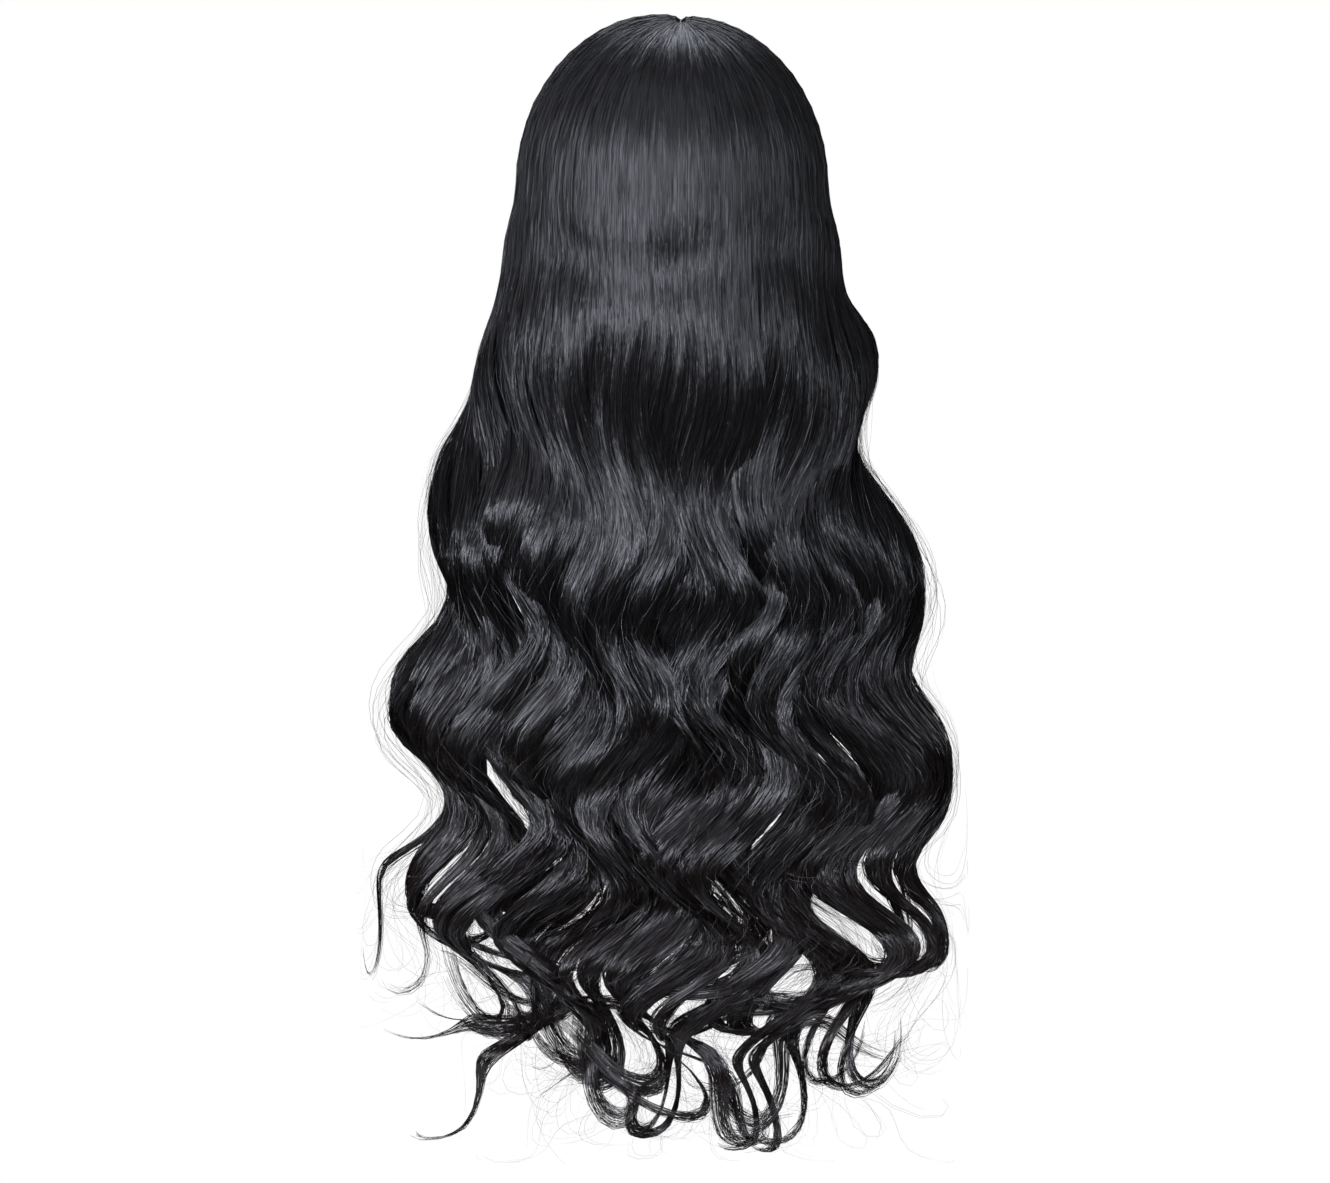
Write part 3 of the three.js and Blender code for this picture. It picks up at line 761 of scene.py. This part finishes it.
wispLook = {
    "pairs": 16,  # on one tress
    "reach": 1.02, "half": 0.03, "growth": 0.3, "phase": 0.08,
    "depth": (-3, 5), "swing": (0.6, 1.4),
    "curl": (60, 240), "curlStart": (0.8, 0.88),
    "loose": 1.5, "width": 0.18, "tilt": 0.8,
}


def addWisps(parts, rng, tress, first):
    # single hairs that left their lock, with wider waves and open curls
    look = wispLook
    for k in range(look["pairs"]):
        place, tip = rng.uniform(-0.5, 0.5), tressRows[tress][1] * look["reach"]
        lock = makeLock(rng, tress, place, tip, makeBundle(rng, tress))
        lock.update(half=look["half"], depth=rng.uniform(*look["depth"]), swing=rng.uniform(*look["swing"]),
                    growth=look["growth"], phase=rng.normal(0, look["phase"]))
        tuft = makeTufts(rng, lock, 1)[0]
        curl = rng.choice([-1, 1]) * rng.uniform(*look["curl"])
        tuft.update(curl=math.radians(curl), curlStart=rng.uniform(*look["curlStart"]))
        points, side, normal, t, size = tuftStrands(rng, lock, tuft, 2, -1, look["loose"])
        width = np.full(2, look["width"])
        parts.append(ribbonMesh(rng, points, side, normal, t, width, look["tilt"], first) + (fibreSlot,))
        first += 2


def finishHair(parts, name):
    piece = buildMesh(name + "_hair", parts, [hairFibre, hairMass])
    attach(piece, "root")
    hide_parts(name)


def makeTress(index):
    look = lockLook
    rng = np.random.default_rng(look["seed"] + index * 31)
    bundle = makeBundle(rng, index)
    parts = [tressCore(index, bundle)]
    first = 0
    for k in range(look["locks"]):
        place = (k + 0.5) / look["locks"] - 0.5
        lock = makeLock(rng, index, place, tressRows[index][1], bundle)
        tufts = 1 + (rng.random() < look["double"])
        first = addLock(parts, rng, lock, tufts, look["strands"], -1, first)
    addWisps(parts, rng, index, first)
    finishHair(parts, "tress_%02d" % (index + 1))


underLook = {
    "seed": 411,
    "tresses": 8, "behind": 4,  # the first lies behind this outer tress
    "locks": 2, "tufts": 2, "strands": 44,
    "start": 0.068,  # the drop where they are sewn to the cap
    "base": 12.5,  # mm under the outer hair
    "reach": 0.86, "half": 1.5,  # times those of an outer lock
}


def makeUnderTress(index):
    look = underLook
    rng = np.random.default_rng(look["seed"] + index * 17)
    tress = look["behind"] + index
    tip = tressRows[tress][1] * look["reach"]
    bundle = makeBundle(rng, tress)
    parts = []
    first = 0
    for k in range(look["locks"]):
        lock = makeLock(rng, tress, (k + 0.5) / look["locks"] - 0.5, tip, bundle, look["base"])
        lock["half"] *= look["half"]
        first = addLock(parts, rng, lock, look["tufts"], look["strands"], look["start"], first)
    finishHair(parts, "under_tress_%d" % (index + 1))


for index in range(tressCount):
    makeTress(index)
print("tresses made,", sum(triangles), "triangles, most in one", max(triangles))
for index in range(underLook["tresses"]):
    makeUnderTress(index)
print("under tresses made,", sum(triangles), "triangles so far")

# the cap under the hair: net with sewn tracks, a lace front, ear tabs and an elastic nape band.
# The map of each piece is in mm: round the head, and from the crown down

clothLook = {
    "ior": 1.53,  # nylon and polyester
    # the net's hole colour is painted shade: the dark inside of the cap seen through the holes
    "thread": "#39383d", "netHolePaintedShade": "#0a0a0b", "cell": 1.8, "netRoughness": 0.72, "netHeight": 0.0004,
    "track": "#504e55", "trackPitch": 15.0, "trackShare": 0.78, "stitchScale": 0.16,
    # the lace's hole colour is painted shade: the dark inside of the cap seen through the holes
    "lace": "#a07e66", "laceHolePaintedShade": "#3d2d24", "laceCell": 1.3, "laceRoughness": 0.65, "laceHeight": 0.0003,
    "knot": "#0b0a0a", "knotScale": 0.42,
    # the paler elastic colour is a painted highlight on the rib crowns
    "elastic": "#1d1c20", "elasticPaintedHighlight": "#3a393f", "rib": 1.1, "weft": 0.9, "weftShare": 0.35,
    "elasticRoughness": 0.58, "ribHeight": 0.0004,
    "mapRadius": 87, "mapCrown": 93, "mapRim": 146,  # round the head, over the crown and below it
}


def makeStretchNet():
    # black nylon net: matte threads in small diamonds, with holes painted near black as painted shade of the
    # cap's inside seen through them, crossed by the sewn tracks that carry the rows of hair
    look = clothLook
    material, tree, shader = newMaterial("nylonStretchNet", {
        "Roughness": look["netRoughness"], "IOR": look["ior"], "Sheen Weight": 0.15})
    uv = addNode(tree, "ShaderNodeUVMap", {"uv_map": "cloth"})
    axes = addNode(tree, "ShaderNodeSeparateXYZ", links={"Vector": (uv, "UV")})
    turned = addNode(tree, "ShaderNodeMapping", {}, {"Rotation": (0, 0, math.radians(45))},
                     {"Vector": (uv, "UV")})
    net = addNode(tree, "ShaderNodeTexBrick", {"offset": 0.0}, {
        "Color1": (0, 0, 0, 1), "Color2": (0, 0, 0, 1), "Mortar": (1, 1, 1, 1), "Scale": 1.0,
        "Mortar Size": 0.2, "Mortar Smooth": 0.6, "Brick Width": look["cell"], "Row Height": look["cell"],
    }, {"Vector": (turned, "Vector")})
    rows = addNode(tree, "ShaderNodeMath", {"operation": "DIVIDE"}, {1: look["trackPitch"]},
                   {0: (axes, "Y")})
    part = addNode(tree, "ShaderNodeMath", {"operation": "FRACT"}, links={0: (rows, "Value")})
    track = addNode(tree, "ShaderNodeMath", {"operation": "GREATER_THAN"}, {1: look["trackShare"]},
                    {0: (part, "Value")})
    stitch = addNode(tree, "ShaderNodeTexWave", {"bands_direction": "X"},
                     {"Scale": look["stitchScale"], "Distortion": 1.5, "Detail": 2.0},
                     {"Vector": (uv, "UV")})
    height = addNode(tree, "ShaderNodeMix", {"data_type": "RGBA"}, {},
                     {0: (track, "Value"), 6: (net, "Color"), 7: (stitch, "Color")})
    cloth = addNode(tree, "ShaderNodeMix", {"data_type": "RGBA"},
                    {6: fromHex(look["netHolePaintedShade"]), 7: fromHex(look["thread"])}, {0: (net, "Fac")})
    # between the stitches the tracks show the same painted shade as the holes
    sewn = addNode(tree, "ShaderNodeMix", {"data_type": "RGBA"},
                   {6: fromHex(look["netHolePaintedShade"]), 7: fromHex(look["track"])}, {0: (stitch, "Fac")})
    tone = addNode(tree, "ShaderNodeMix", {"data_type": "RGBA"}, {},
                   {0: (track, "Value"), 6: (cloth, 2), 7: (sewn, 2)})
    tree.links.new(tone.outputs[2], shader.inputs["Base Color"])
    bump = addNode(tree, "ShaderNodeBump", {}, {"Strength": 0.7, "Distance": look["netHeight"]},
                   {"Height": (height, 2)})
    tree.links.new(bump.outputs["Normal"], shader.inputs["Normal"])
    return material


def makeSheerLace():
    # skin-brown polyester lace: a fine net whose holes are painted dark, a painted shade of the cap's inside
    # seen through them, and small black knots where each hair is tied in
    look = clothLook
    material, tree, shader = newMaterial("polyesterLace", {
        "Roughness": look["laceRoughness"], "IOR": look["ior"], "Sheen Weight": 0.2})
    uv = addNode(tree, "ShaderNodeUVMap", {"uv_map": "cloth"})
    net = addNode(tree, "ShaderNodeTexBrick", {"offset": 0.5}, {
        "Color1": (0, 0, 0, 1), "Color2": (0, 0, 0, 1), "Mortar": (1, 1, 1, 1), "Scale": 1.0,
        "Mortar Size": 0.24, "Mortar Smooth": 0.5, "Brick Width": look["laceCell"],
        "Row Height": look["laceCell"] * 0.8,
    }, {"Vector": (uv, "UV")})
    knots = addNode(tree, "ShaderNodeTexVoronoi", {"voronoi_dimensions": "2D"},
                    {"Scale": look["knotScale"], "Randomness": 0.55}, {"Vector": (uv, "UV")})
    dot = addNode(tree, "ShaderNodeMapRange", {},
                  {"From Min": 0.1, "From Max": 0.17, "To Min": 1.0, "To Max": 0.0},
                  {"Value": (knots, "Distance")})
    # the threads take the lace colour and the holes the painted shade
    cloth = addNode(tree, "ShaderNodeMix", {"data_type": "RGBA"},
                    {6: fromHex(look["laceHolePaintedShade"]), 7: fromHex(look["lace"])}, {0: (net, "Fac")})
    tone = addNode(tree, "ShaderNodeMix", {"data_type": "RGBA"}, {7: fromHex(look["knot"])},
                   {0: (dot, "Result"), 6: (cloth, 2)})
    tree.links.new(tone.outputs[2], shader.inputs["Base Color"])
    height = addNode(tree, "ShaderNodeMath", {"operation": "ADD"},
                     links={0: (net, "Fac"), 1: (dot, "Result")})
    bump = addNode(tree, "ShaderNodeBump", {}, {"Strength": 0.6, "Distance": look["laceHeight"]},
                   {"Height": (height, "Value")})
    tree.links.new(bump.outputs["Normal"], shader.inputs["Normal"])
    return material


def makeWovenElastic():
    # black woven elastic: close upright ribs, with a painted highlight on their crowns, where the colour is
    # made paler as the ribs stand highest
    look = clothLook
    material, tree, shader = newMaterial("wovenElastic", {
        "Roughness": look["elasticRoughness"], "IOR": look["ior"], "Sheen Weight": 0.1})
    uv = addNode(tree, "ShaderNodeUVMap", {"uv_map": "cloth"})
    axes = addNode(tree, "ShaderNodeSeparateXYZ", links={"Vector": (uv, "UV")})
    waves = []
    for axis, pitch in (("X", look["rib"]), ("Y", look["weft"])):
        turns = addNode(tree, "ShaderNodeMath", {"operation": "MULTIPLY"}, {1: 2 * math.pi / pitch},
                        {0: (axes, axis)})
        waves.append(addNode(tree, "ShaderNodeMath", {"operation": "SINE"}, links={0: (turns, "Value")}))
    rib, cross = waves
    both = addNode(tree, "ShaderNodeMath", {"operation": "MULTIPLY_ADD"}, {1: look["weftShare"]},
                   {0: (cross, "Value"), 2: (rib, "Value")})
    most = 1 + look["weftShare"]
    high = addNode(tree, "ShaderNodeMapRange", {}, {"From Min": -most, "From Max": most},
                   {"Value": (both, "Value")})
    # painted highlight: the base colour grows paler towards the crown of each rib
    tone = addNode(tree, "ShaderNodeMix", {"data_type": "RGBA"},
                   {6: fromHex(look["elastic"]), 7: fromHex(look["elasticPaintedHighlight"])}, {0: (high, "Result")})
    tree.links.new(tone.outputs[2], shader.inputs["Base Color"])
    bump = addNode(tree, "ShaderNodeBump", {}, {"Strength": 0.8, "Distance": look["ribHeight"]},
                   {"Height": (high, "Result")})
    tree.links.new(bump.outputs["Normal"], shader.inputs["Normal"])
    return material


def clothMap(piece):
    # lays the map round the head: a face that crosses the back of the head isn't torn
    look = clothLook
    mesh = piece.data
    layer = mesh.uv_layers.new(name="cloth")
    for face in mesh.polygons:
        middle = math.atan2(face.center.x, -face.center.y)
        for corner in face.loop_indices:
            x, y, z = mesh.vertices[mesh.loops[corner].vertex_index].co * 1000
            away = math.hypot(x, y)
            turned = math.atan2(x, -y) if away > 1 else middle
            around = middle + (turned - middle + math.pi) % (2 * math.pi) - math.pi
            below = -z - head["crownHeight"]
            down = math.atan2(away, -below) * look["mapCrown"] if below < 0 else look["mapRim"] + below
            layer.data[corner].uv = (around * look["mapRadius"], down)


def makeCloth(node, name, material, levels):
    # the solid's own form, with its rims kept and its faces rounded
    piece = bpy.data.objects.new(name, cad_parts[node].data.copy())
    bpy.context.collection.objects.link(piece)
    bpy.ops.object.select_all(action="DESELECT")
    piece.select_set(True)
    bpy.context.view_layer.objects.active = piece
    bpy.ops.object.mode_set(mode="EDIT")
    bpy.ops.mesh.select_all(action="SELECT")
    bpy.ops.mesh.remove_doubles(threshold=0.00002)
    bpy.ops.mesh.tris_convert_to_quads()
    bpy.ops.mesh.select_all(action="DESELECT")
    bpy.ops.mesh.edges_select_sharp(sharpness=math.radians(50))
    bpy.ops.transform.edge_crease(value=1.0)
    bpy.ops.object.mode_set(mode="OBJECT")
    smooth = piece.modifiers.new("smooth", "SUBSURF")
    smooth.levels = smooth.render_levels = levels
    bpy.ops.object.modifier_apply(modifier="smooth")
    bpy.ops.object.shade_smooth_by_angle(angle=math.radians(40))
    clothMap(piece)
    piece.data.materials.clear()
    piece.data.materials.append(material)
    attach(piece, "root")
    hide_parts(node)


stretchNet = makeStretchNet()
makeCloth("cap", "cap_net_shell", stretchNet, 1)
makeCloth("ear_tab_left", "ear_tab_left_net", stretchNet, 2)
makeCloth("ear_tab_right", "ear_tab_right_net", stretchNet, 2)
makeCloth("lace_front", "lace_front_net", makeSheerLace(), 2)
makeCloth("nape_band", "nape_band_elastic", makeWovenElastic(), 2)
print("cap pieces made")

# light, floor and backdrop

studio = {
    "floorDrop": -1.3,
    "floorRadius": 0.8,
    "floorColour": "#c8c8c8",
    "skyColour": "#ffffff",
    "skyLight": 0.04,
    "lampColour": "#edf1ff",
    "lamps": [  # name, place, target, width and height in metres, watts
        ("back softbox", (0.6, 2.6, 0.5), (0, 0, -0.3), (3.8, 0.8), 34),
        ("back strip", (0.6, 2.55, 0.5), (0, 0, -0.3), (3.2, 0.22), 22),
        ("back fill", (0.6, 2.8, 0.6), (0, 0, -0.3), (4.2, 2.0), 42),
        ("left softbox", (2.5, 1.3, 0.35), (0, 0, -0.3), (1.3, 1.1), 40),
        ("right softbox", (-2.5, 1.3, 0.35), (0, 0, -0.3), (1.3, 1.1), 20),
        ("top fill", (0.3, 1.3, 2.3), (0, 0, -0.1), (2.4, 1.4), 16),
        ("crown light", (0, -1.4, 1.7), (0, 0, -0.1), (1.4, 0.8), 23),
        ("front softbox", (0.4, -2.8, 0.3), (0, 0, -0.2), (2.4, 1.4), 34),
    ],
}


def addLamp(name, place, target, size, power):
    data = bpy.data.lights.new(name, "AREA")
    data.shape = "RECTANGLE"
    data.size, data.size_y = size
    data.energy = power
    data.color = fromHex(studio["lampColour"])[:3]
    lamp = bpy.data.objects.new(name, data)
    bpy.context.collection.objects.link(lamp)
    lamp.location = place
    lamp.rotation_mode = "QUATERNION"
    lamp.rotation_quaternion = (Vector(target) - Vector(place)).to_track_quat("-Z", "Y")


def makeFloor():
    look = studio
    bpy.ops.object.select_all(action="DESELECT")
    bpy.ops.mesh.primitive_circle_add(vertices=96, radius=look["floorRadius"], fill_type="NGON",
                                      location=(0, 0, look["floorDrop"]))
    floor = bpy.context.object
    floor.name = "floor"
    bpy.ops.object.transform_apply(location=True, rotation=True, scale=True)
    # painted board: even and matte
    material = newMaterial("paleFloor", {"Base Color": fromHex(look["floorColour"]), "Roughness": 0.8})[0]
    floor.data.materials.append(material)


def makeBackdrop():
    # white as the camera sees it, and weak as a light
    look = studio
    world = bpy.data.worlds.new("studio")
    bpy.context.scene.world = world
    world.use_nodes = True
    tree = world.node_tree
    tree.nodes.clear()
    colour = fromHex(look["skyColour"])
    seen = addNode(tree, "ShaderNodeBackground", inputs={"Color": colour, "Strength": 1.0})
    lit = addNode(tree, "ShaderNodeBackground", inputs={"Color": colour, "Strength": look["skyLight"]})
    path = addNode(tree, "ShaderNodeLightPath")
    both = addNode(tree, "ShaderNodeMixShader", links={
        0: (path, "Is Camera Ray"), 1: (lit, "Background"), 2: (seen, "Background")})
    addNode(tree, "ShaderNodeOutputWorld", links={"Surface": (both, "Shader")})


makeFloor()
makeBackdrop()
for lamp in studio["lamps"]:
    addLamp(*lamp)
bpy.context.scene.view_settings.view_transform = "Standard"
print("studio made")
